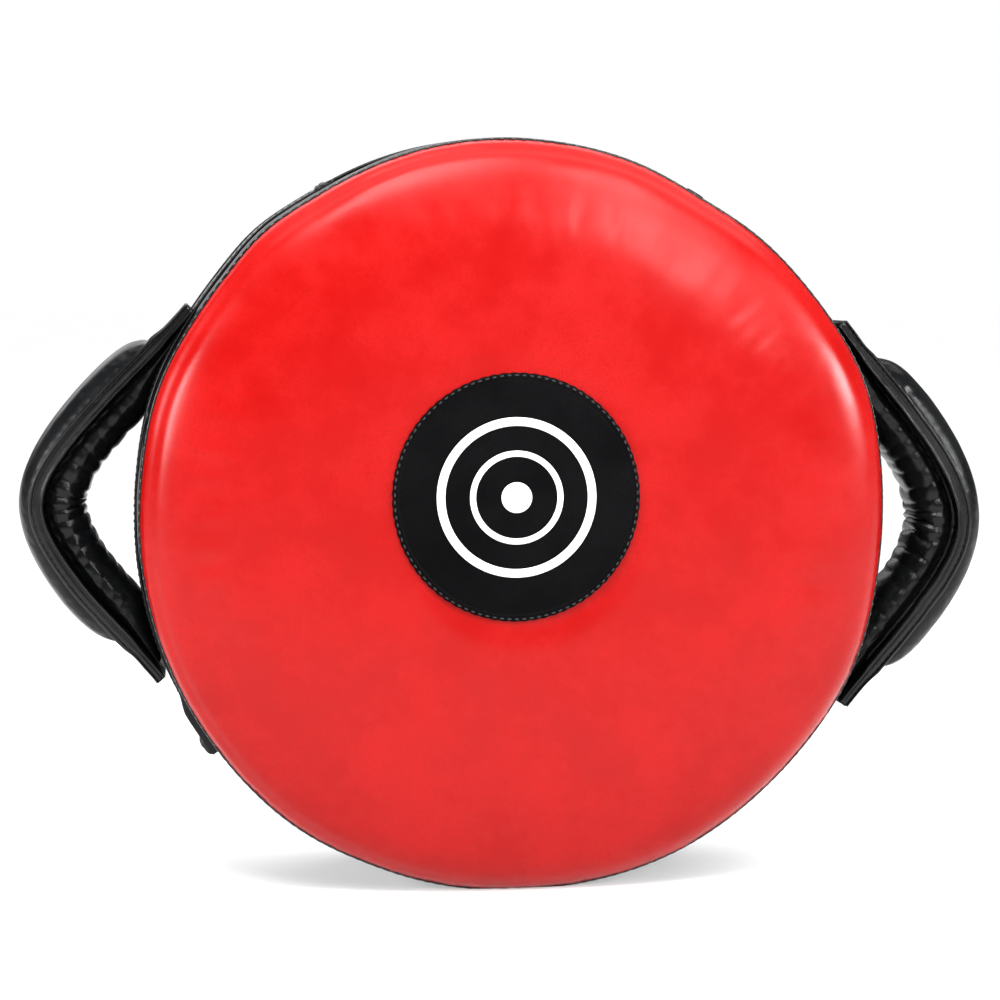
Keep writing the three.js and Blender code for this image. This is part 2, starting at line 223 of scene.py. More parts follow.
def tube_faces(rows, columns, start=0):
    """The faces of a closed tube of rings, whose first point has the number start."""
    last = start + (rows - 1) * columns
    return [
        *grid_faces(rows, columns, wrap_columns=True, start=start),
        tuple(start + j for j in reversed(range(columns))),
        tuple(last + j for j in range(columns)),
    ]


def closed_sweep(name, rings, material, wrap=False):
    """A closed body through rings of points: a full ring, or a length with flat ends."""
    rows, columns = np.shape(rings)[:2]
    faces = grid_faces(rows, columns, True, True) if wrap else tube_faces(rows, columns)
    return turn_out(new_object(name, rings, faces, material))


def rounded_rectangle(low_n, high_n, low_y, high_y, corner):
    """The outline of a rectangle with round corners, as (n, y) pairs."""
    parts = 4
    corner = min(corner, (high_n - low_n) / 2.01, (high_y - low_y) / 2.01)
    outline = []
    centres = (
        (high_n - corner, high_y - corner, 0),
        (low_n + corner, high_y - corner, 90),
        (low_n + corner, low_y + corner, 180),
        (high_n - corner, low_y + corner, 270),
    )
    for n, y, start in centres:
        for k in range(parts + 1):
            a = math.radians(start + 90 * k / parts)
            outline.append((n + corner * math.cos(a), y + corner * math.sin(a)))
    return np.array(outline)


def stitched(name, path, out, material, pitch=STITCH, cover=0.62, radius=THREAD_R, closed=False, skip=None):
    """A row of thread stitches along a path of points, each lying on the surface whose normals are out."""
    path, out = np.asarray(path, float), np.asarray(out, float)
    if closed:
        path, out = np.vstack([path, path[:1]]), np.vstack([out, out[:1]])
    along = travel(path)
    count = max(1, round(along[-1] / pitch))
    pitch = along[-1] / count
    ring_at = np.array([-1.0, -0.8, -0.4, 0.0, 0.4, 0.8, 1.0])
    girth = radius * np.array([0.25, 0.75, 1.0, 1.05, 1.0, 0.75, 0.25])
    rise = radius * np.array([-1.1, -0.1, 0.45, 0.55, 0.45, -0.1, -1.1])
    around = turn_angles(6)
    points, faces = [], []
    for k in range(count):
        middle = (k + 0.5) * pitch
        at = middle + ring_at * cover * pitch / 2
        centre = np.stack([np.interp(at, along, path[:, a]) for a in range(3)], axis=-1)
        normal = np.array([np.interp(middle, along, out[:, a]) for a in range(3)])
        if skip is not None and skip(centre[3]):
            continue
        normal /= np.linalg.norm(normal)
        forward = centre[-1] - centre[0]
        forward /= max(np.linalg.norm(forward), 1e-9)
        side = np.cross(normal, forward)
        start = len(points) * len(around)
        for c, g, h in zip(centre, girth, rise):
            ring = c + normal * h + g * (np.cos(around)[:, None] * side + np.sin(around)[:, None] * normal)
            points.append(ring)
        faces += tube_faces(len(ring_at), len(around), start)
    return turn_out(new_object(name, np.array(points), faces, material))


def declare(nodes):
    if nodes:
        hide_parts(*nodes)


def ride(made, slot, *nodes, fill=None):
    """Fastens a piece to the pad and hides the CAD nodes it stands for; the slot for its material is not
    used.
    """
    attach(made, BODY)
    declare(nodes)


# ---- soft pieces ----
@dataclass
class SoftPiece:
    """A piece to be let go as cloth: held at its pins, and pushed out by what fills it."""

    made: object
    pins: list
    finish: object  # called once it has settled
    limit: float  # no point moves further than this
    rest: object = None  # the shape that its leather is cut to
    growth: float = 0.0  # or how much larger the leather is than it lies, as a share
    scale: float = 4  # cloth is steadier at a larger scale


soft_pieces = []


def settle_all():
    """Lets every soft piece settle, all at once, and then finishes each."""
    scene = bpy.context.scene
    starts = [add_cloth(piece) for piece in soft_pieces]
    for step in range(1, CLOTH_FRAMES + 1):
        scene.frame_set(step)
    depsgraph = bpy.context.evaluated_depsgraph_get()
    ends = [read_points(piece.made.evaluated_get(depsgraph).data) for piece in soft_pieces]
    for piece, start, end in zip(soft_pieces, starts, ends):
        take_shape(piece, start, end)
    scene.frame_set(1)
    for piece in soft_pieces:
        piece.finish()


def read_points(mesh):
    points = np.empty(len(mesh.vertices) * 3)
    mesh.vertices.foreach_get("co", points)
    return points.reshape(-1, 3)


def write_points(mesh, points):
    mesh.vertices.foreach_set("co", np.asarray(points, np.float32).ravel())
    mesh.update()


def add_cloth(piece):
    """Puts a cloth modifier on a piece, and gives back where its points were."""
    made = piece.made
    start = read_points(made.data)
    write_points(made.data, start * piece.scale)
    made.vertex_groups.new(name="held").add(sorted(set(int(k) for k in piece.pins)), 1.0, "REPLACE")
    cloth = made.modifiers.new("cloth", "CLOTH")
    settings = cloth.settings
    settings.quality = 5
    settings.mass = 0.3
    settings.tension_stiffness = settings.compression_stiffness = 15
    settings.shear_stiffness = 5
    settings.tension_damping = settings.compression_damping = settings.shear_damping = 25
    settings.bending_stiffness = 0.5
    settings.bending_damping = 2
    settings.use_pressure = True
    settings.uniform_pressure_force = 4.0
    settings.vertex_group_mass = "held"
    settings.shrink_min = -piece.growth
    settings.effector_weights.gravity = 0
    cloth.collision_settings.use_collision = False
    cloth.collision_settings.use_self_collision = False
    cloth.point_cache.frame_start = 1
    cloth.point_cache.frame_end = CLOTH_FRAMES
    if piece.rest is not None:
        made.shape_key_add(name="Basis")
        key = made.shape_key_add(name="cut")
        key.data.foreach_set("co", np.asarray(piece.rest * piece.scale, np.float32).ravel())
        settings.rest_shape_key = key
    return start


def take_shape(piece, start, end):
    """Freezes a piece as it has settled, with its largest moves held back."""
    move = end / piece.scale - start
    size = np.linalg.norm(move, axis=1, keepdims=True)
    move *= piece.limit * np.tanh(size / piece.limit) / np.maximum(size, 1e-9)
    piece.made.modifiers.remove(piece.made.modifiers["cloth"])
    if piece.rest is not None:
        piece.made.shape_key_clear()
    write_points(piece.made.data, start + move)


# ---- materials ----
class Look:
    """A Principled material under construction, with short ways to add its nodes."""

    def __init__(self, name):
        self.material = bpy.data.materials.new(name)
        self.material.use_nodes = True
        self.tree = self.material.node_tree
        self.shader = self.tree.nodes["Principled BSDF"]
        self.place = self.add("ShaderNodeTexCoord", "Object", {})
        self.height = None

    def feed(self, target, value):
        """Gives an input a number, a colour, or what another node puts out."""
        if isinstance(value, bpy.types.NodeSocket):
            self.tree.links.new(value, target)
        elif target.type == "RGBA":
            target.default_value = (*value[:3], 1.0)
        else:
            target.default_value = value

    def add(self, kind, output, inputs, **settings):
        made = self.tree.nodes.new(kind)
        for key, value in settings.items():
            setattr(made, key, value)
        for key, value in inputs.items():
            self.feed(made.inputs[key], value)
        return made.outputs[output]

    def set(self, **values):
        for key, value in values.items():
            self.feed(self.shader.inputs[key.replace("_", " ")], value)

    def scaled(self, scale):
        return self.add("ShaderNodeMapping", "Vector", {"Scale": scale, "Vector": self.place})

    def noise(self, size, detail=3.0, where=None, distortion=0.0):
        inputs = {"Scale": 1.0 / size, "Detail": detail, "Roughness": 0.55, "Distortion": distortion}
        return self.add("ShaderNodeTexNoise", "Fac", {**inputs, "Vector": where or self.place})

    def cells(self, size, feature="DISTANCE_TO_EDGE"):
        inputs = {"Scale": 1.0 / size, "Vector": self.place}
        return self.add("ShaderNodeTexVoronoi", "Distance", inputs, feature=feature)

    def ramp(self, value, low, high, to_low=0.0, to_high=1.0):
        inputs = {"From Min": low, "From Max": high, "To Min": to_low, "To Max": to_high, "Value": value}
        return self.add("ShaderNodeMapRange", "Result", inputs, interpolation_type="SMOOTHSTEP")

    def math(self, operation, a, b):
        return self.add("ShaderNodeMath", "Value", {0: a, 1: b}, operation=operation)

    def blend(self, share, first, second):
        """A colour between two, each a colour or another socket."""
        return self.add("ShaderNodeMix", 2, {0: share, 6: first, 7: second}, data_type="RGBA")

    def raise_by(self, height, distance, strength=1.0):
        """Adds a layer of relief, a distance in metres high."""
        under = {} if self.height is None else {"Normal": self.height}
        inputs = {"Strength": strength, "Distance": distance, "Height": height, **under}
        self.height = self.add("ShaderNodeBump", "Normal", inputs)

    def patterned(self, pattern, colour, shade, height, strength, gloss):
        """Relief, tone and roughness that all follow one pattern: its low parts are darker by a share, which
        is painted shade in the hollows of the relief.
        """
        self.raise_by(pattern, height, strength)
        # Painted shade: the colour is darker where the relief is low.
        tone = self.blend(pattern, shaded(colour, shade), colour)
        self.set(Base_Color=tone, Roughness=self.ramp(pattern, *gloss))
        return self.done()

    def done(self):
        if self.height is not None:
            self.set(Normal=self.height)
        return self.material


def shaded(colour, share):
    return tuple(c * share for c in colour)


def leather(name, colour, rough, grain, grain_height, shine, coat=0.0, crease=0.0):
    """Coated leather: a pebbled grain with painted shade in the grooves between its pebbles, fine pores, slow
    changes of tone and gloss, and faint creases.
    """
    look = Look(name)
    look.set(Coat_Weight=coat, Coat_Roughness=0.26, Specular_IOR_Level=shine)
    warped = look.noise(grain * 3.0, detail=2.0)
    pebble = look.ramp(look.cells(grain), 0.0, 0.35)
    pores = look.noise(0.35 * MM, detail=4.0)
    slow = look.noise(46 * MM)
    look.raise_by(pebble, grain_height, 0.55)
    look.raise_by(pores, grain_height * 0.6, 0.5)
    look.raise_by(warped, grain_height * 2.0, 0.5)
    if crease:
        lines = look.ramp(look.noise(9 * MM, detail=5.0, distortion=1.4), 0.44, 0.5)
        look.raise_by(lines, crease, 0.6)
    light = tuple(min(1.0, c * 1.1 + 0.002) for c in colour)
    tone = look.blend(look.ramp(slow, 0.3, 0.7), shaded(colour, 0.86), light)
    worn = look.ramp(slow, 0.3, 0.7, rough - 0.05, rough + 0.06)
    # Painted shade: the grooves between the pebbles are darker than the pebbles.
    look.set(
        Base_Color=look.blend(look.ramp(pebble, 0.0, 0.5), shaded(colour, 0.8), tone),
        Roughness=look.math("ADD", worn, look.ramp(pores, 0.3, 0.7, -0.03, 0.03)),
    )
    return look.done()


def thread(name, colour):
    look = Look(name)
    look.set(Specular_IOR_Level=0.3, Sheen_Weight=0.12)
    twist = look.noise(0.5 * MM, detail=2.0, where=look.scaled((1.0, 1.0, 2.2)))
    # Painted shade: the grooves of the twist are darker.
    return look.patterned(twist, colour, 0.6, 0.2 * MM, 0.8, (0.3, 0.7, 0.55, 0.8))


def woven(name, colour, size):
    """Plain weave: two crossed rows of threads."""
    look = Look(name)
    look.set(Specular_IOR_Level=0.25, Sheen_Weight=0.25)
    inputs = {"Scale": 1.0 / size / 3.2, "Distortion": 0.6, "Vector": look.place}
    x, y, z = (look.add("ShaderNodeTexWave", "Fac", inputs, bands_direction=axis) for axis in "XYZ")
    relief = look.math("ADD", look.math("MULTIPLY", x, z), look.math("MULTIPLY", y, z))
    # Painted shade: the low places between the threads are darker.
    return look.patterned(relief, colour, 0.5, 0.25 * MM, 0.8, (0.0, 1.5, 0.9, 0.7))


def foam(name, colour):
    look = Look(name)
    look.set(Specular_IOR_Level=0.15)
    holes = look.ramp(look.cells(1.1 * MM, feature="F1"), 0.1, 0.5)
    # Painted shade: the pores are darker.
    return look.patterned(holes, colour, 0.5, 0.4 * MM, 0.8, (0.0, 1.0, 0.98, 0.88))


def metal(name, colour, rough):
    look = Look(name)
    scratches = look.noise(0.8 * MM, detail=5.0, where=look.scaled((1.0, 6.0, 1.0)))
    smudges = look.noise(4 * MM)
    look.raise_by(scratches, 0.02 * MM, 0.5)
    worn = look.ramp(smudges, 0.3, 0.7, rough - 0.08, rough + 0.1)
    look.set(
        Metallic=1.0,
        Base_Color=look.blend(smudges, shaded(colour, 0.7), shaded(colour, 1.25)),
        Roughness=look.math("ADD", worn, look.ramp(scratches, 0.3, 0.7, -0.04, 0.06)),
    )
    return look.done()


def print_ink(name, colour):
    look = Look(name)
    slow = look.noise(11 * MM)
    look.raise_by(look.noise(0.5 * MM, detail=4.0), 0.05 * MM, 0.5)
    look.set(
        Specular_IOR_Level=0.4,
        Base_Color=look.blend(look.ramp(slow, 0.35, 0.65), shaded(colour, 0.92), colour),
        Roughness=look.ramp(slow, 0.3, 0.7, 0.42, 0.55),
    )
    return look.done()


def nylon(name, colour):
    look = Look(name)
    # Painted shade: the low spots of its fine relief are darker.
    return look.patterned(look.noise(0.6 * MM), colour, 0.7, 0.03 * MM, 0.5, (0.3, 0.7, 0.32, 0.45))


RED = leather("red_leather", (0.318, 0.0028, 0.0024), 0.27, 1.0 * MM, 0.012 * MM, shine=0.17)
BLACK = leather(
    "black_leather", (0.0024, 0.0026, 0.003), 0.3, 1.3 * MM, 0.03 * MM, shine=0.14, crease=0.02 * MM
)
SOFT_BLACK = leather(
    "gathered_leather", (0.002, 0.0022, 0.0025), 0.25, 1.1 * MM, 0.035 * MM,
    shine=0.18, coat=0.03, crease=0.05 * MM,
)
EDGE = leather("binding_leather", (0.0022, 0.0023, 0.0026), 0.27, 0.9 * MM, 0.03 * MM, shine=0.28)
PATCH_LEATHER = leather("patch_leather", (0.0013, 0.0013, 0.0016), 0.5, 1.0 * MM, 0.02 * MM, shine=0.03)
PALE_THREAD = thread("pale_thread", (0.13, 0.135, 0.14))
DARK_THREAD = thread("dark_thread", (0.009, 0.0095, 0.011))
WEBBING = woven("webbing", (0.004, 0.004, 0.0045), 1.2 * MM)
TAPE = woven("zip_tape_cloth", (0.018, 0.018, 0.02), 0.6 * MM)
DENSE_FOAM = foam("dense_foam_look", (0.05, 0.05, 0.055))
SOFT_FOAM = foam("soft_foam_look", (0.62, 0.58, 0.46))
STEEL = metal("blackened_metal", (0.11, 0.11, 0.115), 0.34)
INK = print_ink("white_print", (0.86, 0.86, 0.85))
COIL = nylon("zip_nylon", (0.018, 0.018, 0.02))


# ---- the round body ----
def face_profile():
    """Radius and y from the middle of the strike face over its shoulder to the seam, and the way out."""
    flat = np.linspace(0, FLAT_R, 15)[:-1]
    shoulder = bezier(
        (
            (FLAT_R, FACE_Y),
            (190 * MM, FACE_Y + 1 * MM),
            (SEAM_R - 4 * MM, FACE_Y + 6 * MM),
            (SEAM_R, FRONT_SEAM_Y - BINDING_HALF),
        ),
        46,
    )
    line = np.vstack([np.stack([flat, np.full(flat.shape, FACE_Y)], axis=-1), shoulder])
    radius, y = line.T
    along = travel(line)
    slope_r, slope_y = np.gradient(radius, along), np.gradient(y, along)
    length = np.hypot(slope_r, slope_y)
    return radius, y, slope_y / length, -slope_r / length, along[-1] - along


def let_cover_go(name, grid, look, slot, growth, limit, held_rows=0):
    """Makes a round cover of rings from its middle to its seam, and lets it settle, held at the seam."""
    made = dome(f"{name}_leather", grid, look)
    rows, count = len(grid) - 1, grid.shape[1]
    index = np.arange(rows * count).reshape(rows, count)
    pins = [*index[-1], *index[-2, ::2]]
    if held_rows:
        pins += [*index[:held_rows].ravel(), rows * count]

    def finish():
        thicken(made)
        ride(made, slot, name, fill=0.9)

    soft_pieces.append(SoftPiece(made, pins, finish, limit, growth=growth))


def front_cover():
    radius, y, out_r, out_y, to_seam = face_profile()
    angle = turn_angles(400)
    base = round_pad(radius[:, None], angle, y[:, None])
    # A small roll beside the seam, and a crease behind it: strongest over the upper left.
    strength = 0.55 + 0.45 * np.cos(angle - math.radians(130))
    roll = 0.9 * MM * bump(to_seam, 5 * MM, 3 * MM) - 0.8 * MM * bump(to_seam, 12 * MM, 3.5 * MM)
    lumps = 0.55 * MM * noise_at(base, 85 * MM, 1) + 0.22 * MM * noise_at(base, 32 * MM, 2)
    pulled = 0.5 * MM * noise_at(base, 8 * MM, 3) * np.exp(-to_seam / (6 * MM))[:, None]
    from_patch = np.hypot(base[..., 0] - PATCH.x, base[..., 2] - PATCH.z) - PATCH_R
    quilted = -0.5 * MM * bump(from_patch, 0.5 * MM, 4 * MM)
    height = roll[:, None] * strength + lumps * smoothstep(0, 60 * MM, to_seam)[:, None] + pulled + quilted
    height[-1] = 0.0
    out = out_r[:, None, None] * spoke(angle) + out_y[:, None, None] * ALONG
    grid = base + height[..., None] * out
    grid[..., 2] = np.maximum(grid[..., 2], 0)
    under_patch = int(np.sum(radius < 0.8 * PATCH_R))
    let_cover_go("front_cover", grid, RED, "red_leather", 0.006, 0.9 * MM, under_patch)


def back_cover():
    flat_r = SEAM_R - 16 * MM
    flat = np.linspace(0, flat_r, 26)[:-1]
    edge = bezier(((flat_r, BACK_Y), (SEAM_R - 0.5 * MM, BACK_Y), (SEAM_R, BACK_SEAM_Y + BINDING_HALF)), 22)
    line = np.vstack([np.stack([flat, np.full(flat.shape, BACK_Y)], axis=-1), edge])
    base = round_pad(line[:, :1], turn_angles(360), line[:, 1:])
    to_seam = travel(line)[-1] - travel(line)
    lumps = 0.9 * MM * noise_at(base, 70 * MM, 11) + 0.35 * MM * noise_at(base, 26 * MM, 12) - 0.6 * MM
    pulled = 0.6 * MM * noise_at(base, 9 * MM, 13) * np.exp(-to_seam / (8 * MM))[:, None]
    height = lumps * smoothstep(0, 30 * MM, to_seam)[:, None] + pulled
    grid = base + (height * smoothstep(0, 4 * MM, to_seam)[:, None])[..., None] * ALONG
    let_cover_go("back_cover", grid, BLACK, "black_leather", 0.015, 1.2 * MM)


def band_radius(y):
    """The side band's radius across its width: it swells between the seams."""
    rise = smoothstep(FRONT_SEAM_Y, FRONT_SEAM_Y + 13 * MM, y)
    fall = smoothstep(BACK_SEAM_Y, BACK_SEAM_Y - 6 * MM, y)
    return SEAM_R + (BELLY_R - SEAM_R) * rise * (0.4 + 0.6 * fall)


def side_band():
    """The leather round the side, with an open slot where the zip runs."""
    angle = turn_angles(720)
    front = np.linspace(FRONT_SEAM_Y + BINDING_HALF, ZIP_Y - ZIP_SLOT, 34)
    slot = np.linspace(ZIP_Y - ZIP_SLOT, ZIP_Y + ZIP_SLOT, 5)[1:]
    rear = np.linspace(ZIP_Y + ZIP_SLOT, BACK_SEAM_Y - BINDING_HALF, 5)[1:]
    y = np.concatenate([front, slot, rear])
    base = round_pad(band_radius(y), angle[:, None], y)
    ends = smoothstep(0, 8 * MM, y - y[0]) * smoothstep(0, 8 * MM, y[-1] - y)
    dents = 0.35 * MM * noise_at(base, 30 * MM, 21) * ends
    edge = np.exp(-(y - y[0]) / (5 * MM)) + np.exp(-(y[-1] - y) / (5 * MM))
    pulled = 0.35 * MM * noise_at(base * np.array([1, 0.3, 1]), 7 * MM, 22) * edge
    grid = base + (dents + pulled - 0.2 * MM)[..., None] * spoke(angle)[:, None, :]
    grid[..., 2] = np.maximum(grid[..., 2], 0)
    first = len(front) - 1
    last = first + len(slot)
    per_degree = len(angle) // 360

    def keep(i, j):
        return not (ZIP_FROM * per_degree <= i < ZIP_TO * per_degree and first <= j < last)

    faces = grid_faces(*grid.shape[:2], wrap_rows=True, keep=keep)
    band = face_out(new_object("side_band_leather", grid, faces, BLACK))
    thicken(band)
    ride(band, "black_leather", "side_band")


def seam_binding(where, y, radius, side, look):
    """The leather tape folded over a seam, with its row of stitches on the side of the cover."""
    angle = turn_angles(540)
    corner = turn_angles(14)
    radial = 1.3 * MM * rounded(np.cos(corner), 0.8)
    along = 2.0 * MM * rounded(np.sin(corner), 0.8)
    pinch = 1 - 0.07 * (1 + np.cos(angle * round(2 * math.pi * radius / STITCH)))
    rings = round_pad(radius + radial * pinch[:, None], angle[:, None], y + along * pinch[:, None])
    rings[..., 1] += 0.25 * MM * noise_at(rings, 25 * MM, 31)
    binding = closed_sweep(f"{where}_seam_tape", rings, EDGE, wrap=True)
    ride(binding, "black_binding", f"{where}_seam_binding")
    fine = turn_angles(720)
    path = round_pad(radius + 0.55 * MM, fine, y + side * 1.75 * MM)
    out = 0.35 * spoke(fine) + 0.94 * side * ALONG
    row = stitched(f"{where}_seam_stitches", path, out, look, closed=True,
                   cover=0.34, radius=0.27 * MM, skip=lambda p: p[2] < 3 * MM)
    ride(row, "black_binding")


def foam_discs():
    """The foam layers inside the cover, a little smaller than the space they fill."""
    clear = 4.5 * MM
    radius = SEAM_R - clear
    layers = (
        ("core_foam_front", FRONT_SEAM_Y - BINDING_HALF, 10 * MM, 1 * MM, SOFT_FOAM, "soft_foam"),
        ("core_foam_rear", 10.3 * MM, BACK_SEAM_Y + 1.6 * MM, 1 * MM, SOFT_FOAM, "soft_foam"),
        ("back_foam", BACK_SEAM_Y + BINDING_HALF, BACK_Y - 3.5 * MM, 6 * MM, DENSE_FOAM, "dense_foam"),
    )
    angle = turn_angles(120)
    for name, low, high, taper, look, slot in layers:
        outline = [(0, low), (radius - 30 * MM, low), (radius, low + 1 * MM), (radius, (low + high) / 2),
                   (radius - taper, high - 0.5 * MM), (radius - taper - 30 * MM, high), (0, high)]
        foam_layer(name, outline, angle, look, slot)
    profile_r, profile_y, out_r, out_y, _ = face_profile()
    inset = 4 * MM
    r, y = profile_r - inset * out_r, profile_y - inset * out_y
    inside = y < FRONT_SEAM_Y - 3 * MM
    rear = FRONT_SEAM_Y - 2.2 * MM
    outline = [*zip(r[inside], y[inside]), (r[inside][-1], rear), (0, rear)]
    foam_layer("strike_foam", outline, angle, DENSE_FOAM, "dense_foam")


def foam_layer(name, outline, angle, look, slot):
    rings = [round_pad(max(r, 0.2 * MM), angle, y) for r, y in outline]
    over_floor = [np.maximum(ring, [-1, -1, 3 * MM]) for ring in rings]
    ride(closed_sweep(f"{name}_layer", over_floor, look), slot, name, fill=1.0)


# ---- the patch ----
def patch_point(radius, angle, y):
    radius, angle, y = np.broadcast_arrays(*(np.asarray(v, float) for v in (radius, angle, y)))
    return np.stack([PATCH.x + radius * np.cos(angle), y, PATCH.z + radius * np.sin(angle)], axis=-1)


def target_patch():
    angle = turn_angles(240)
    edge = PATCH_R - 3.4 * MM
    face_rings = 30
    face = np.linspace(0.3 * MM, edge, face_rings)
    radius = np.concatenate([face, [edge + 0.8 * MM, edge + 0.9 * MM, 0.3 * MM]])
    front = patch_low.y
    y = np.concatenate([np.full(face_rings, front), [front + 0.5 * MM, patch_high.y, patch_high.y]])
    rings = patch_point(radius[:, None], angle, y[:, None])
    ripple = 0.12 * MM * noise_at(rings, 22 * MM, 41)
    rings[:face_rings, :, 1] += ripple[:face_rings]
    disc = closed_sweep("target_patch_disc", rings, PATCH_LEATHER)
    ride(disc, "patch_leather", "target_patch")

    # The turned edge, pinched at even steps.
    pinch_step = 5.9 * MM
    fine = turn_angles(900)
    corner = turn_angles(16)
    middle = PATCH_R - 2.3 * MM
    count = round(2 * math.pi * middle / pinch_step)
    pinch = bump(np.mod(fine * count / (2 * math.pi), 1), 0.5, 0.2)
    radial = 2.3 * MM * np.cos(corner)
    depth = (ring_high.y - ring_low.y) / 2
    along = depth * np.sin(corner)
    outer = np.clip(np.cos(corner), 0, 1)
    rings = patch_point(
        middle + radial - 0.45 * MM * pinch[:, None] * outer,
        fine[:, None],
        (ring_low.y + ring_high.y) / 2 + along * (1 - 0.12 * pinch[:, None]),
    )
    edge = closed_sweep("target_patch_edge", rings, PATCH_LEATHER, wrap=True)
    ride(edge, "black_binding", "target_patch_binding")
    path = patch_point(middle + 0.7 * MM, fine, ring_low.y + 0.12 * MM)
    out = np.broadcast_to(-ALONG, path.shape)
    row = stitched("target_patch_stitches", path, out, DARK_THREAD, pitch=4.4 * MM, closed=True, cover=0.6)
    ride(row, "black_binding")

    # The print: a plain bullseye, with its radii in mm.
    for name, low, high in (("outer_ring", 42, 47), ("inner_ring", 24, 27.5), ("dot", 0, 9)):
        low, high = max(low * MM, 0.2 * MM), high * MM
        radius = np.array([low, low, (low + high) / 2, high, high])
        y = front - np.array([-0.2, 0.14, 0.17, 0.14, -0.2]) * MM
        rings = patch_point(radius[:, None], angle, y[:, None])
        ride(closed_sweep(f"print_{name}", rings.transpose(1, 0, 2), INK, wrap=True), "patch_leather")


# ---- the grip loops ----
@dataclass
class Loop:
    """One grip loop, in the numbers that differ between the two sides."""

    side: str
    turn: float  # degrees that it is turned up round the rim
    reach: float  # from the pad's axis to the strap's outer face
    bend: float  # the radius of its bend
    tuck: float  # how far its lower leg is drawn in towards the pad
    crown: float  # the outer pad's height over the strap
    roll: float  # half the grip's thickness
    pad_end: float  # from the middle of the sewn ends to each end of the outer pad
    tip: float  # from the same middle to each flap's tip
    middle: float  # how far that middle is over the loop's furthest point
    seed: int

    @property
    def sign(self):
        return -1 if self.side == "left" else 1

    def drop(self, height):
        """How far the line has fallen back from its furthest point, at a height over the axis."""
        drawn_in = self.tuck * smoothstep(50 * MM, 105 * MM, -height)
        return np.hypot(self.bend, height) - self.bend + drawn_in

    def line(self, height):
        """The strap's outer face at a height over the axis: its distance out, and the way out, as arrays."""
        height = np.asarray(height, float)
        slope = (self.drop(height + MM) - self.drop(height - MM)) / (2 * MM)
        length = np.hypot(1, slope)
        return self.reach - self.drop(height), 1 / length, slope / length

    def away(self, height):
        """How far a height is from the middle of the sewn ends."""
        return np.abs(height - self.middle)

    def heights(self, low, high, step):
        """Heights that are evenly spaced along the loop's line, and how far along it each one lies."""
        fine = np.linspace(low, high, 2000) + self.middle
        x = self.line(fine)[0]
        along = travel(np.stack([fine, x], axis=-1))
        count = max(2, round(along[-1] / step)) + 1
        even = np.linspace(0, along[-1], count)
        return np.interp(even, along, fine), even - along[-1] / 2

    def room_under(self, height):
        """How far the carrier's surface lies under the loop's line, measured square to the line."""
        x, out_x, out_z = self.line(height)
        reach = x * out_x + height * out_z
        foot = CARRIER_R + 0.6 * MM
        under = np.maximum(reach**2 - (x**2 + height**2 - foot**2), 0)
        return reach - np.sqrt(under)

    def points(self, height, n, y):
        """Points by height along the loop, n out from the strap's outer face, and y across it."""
        height, n, y = np.broadcast_arrays(*(np.asarray(v, float) for v in (height, n, y)))
        x, out_x, out_z = self.line(height)
        x, z = x + n * out_x, height + n * out_z
        c, s = math.cos(math.radians(self.turn)), math.sin(math.radians(self.turn))
        return np.stack([self.sign * (x * c - z * s), LOOP_Y + y, AXIS_Z + x * s + z * c], axis=-1)

    def flare(self, height):
        """How far the sewn flaps stand off the loop's line towards their tips."""
        return 1.3 * MM * np.clip((self.away(height) - self.tip) / FLAP + 1, 0, 2) ** 2

    def join(self, made, slot, *nodes, fill=None):
        """Bakes a piece's placing into its points and hides the loop's CAD nodes that it stands for."""
        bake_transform(made)
        declare([f"{self.side}_{node}" for node in nodes])


def pad_height(loop, height):
    """The outer pad's crown over the strap: thinner in the bend, and rounded off at its ends."""
    full = loop.crown - 4.0 * MM * bump(height, 0, 36 * MM)
    return full * np.sqrt(np.clip(1 - (loop.away(height) / (loop.pad_end + 0.4 * MM)) ** 9, 0, 1))


def loop_pad(loop):
    """The smooth padded cover on the outside of the strap."""
    heights, _ = loop.heights(-loop.pad_end, loop.pad_end, 1.6 * MM)
    half = 30.5 * MM
    a = np.linspace(0, math.pi, 49)
    lift = np.sin(a) ** 0.75
    away = loop.away(heights)
    pull = smoothstep(loop.pad_end, loop.pad_end - 18 * MM, away)
    n = 0.3 * MM + pad_height(loop, heights)[:, None] * lift
    y = -half * rounded(np.cos(a), 0.85) * (0.94 + 0.06 * pull)[:, None]
    grid = loop.points(heights[:, None], n, y)
    wrinkle = noise_at(grid * np.array([1.0, 0.35, 1.0]), 11 * MM, loop.seed)
    fold = -np.abs(noise_at(grid * np.array([1.0, 0.2, 1.0]), 20 * MM, loop.seed + 1))
    at_end = smoothstep(60 * MM, 88 * MM, away)
    near_edge = 1 - np.sin(a) ** 2
    height = (0.08 + 0.2 * near_edge) * MM * wrinkle + 0.5 * MM * fold * at_end[:, None]
    outer = loop.points(heights[:, None], n + height * lift**0.5, y)
    under = loop.points(heights[:, None], 0.1 * MM, 0.94 * np.linspace(half, -half, 11)[1:-1])
    rings = np.concatenate([outer, under], axis=1)
    body = closed_sweep(f"{loop.side}_loop_pad_leather", rings, BLACK)
    index = np.arange(rings[..., 0].size).reshape(rings.shape[:2])
    under_and_edges = (index[:, len(a) - 3:], index[:, :3])
    pins = np.concatenate([part.ravel() for part in (*under_and_edges, index[:2], index[-2:])])

    def finish():
        loop.join(body, "black_leather", "loop_pad_cover", fill=0.85)

    soft_pieces.append(SoftPiece(body, pins, finish, 0.6 * MM, growth=0.01))


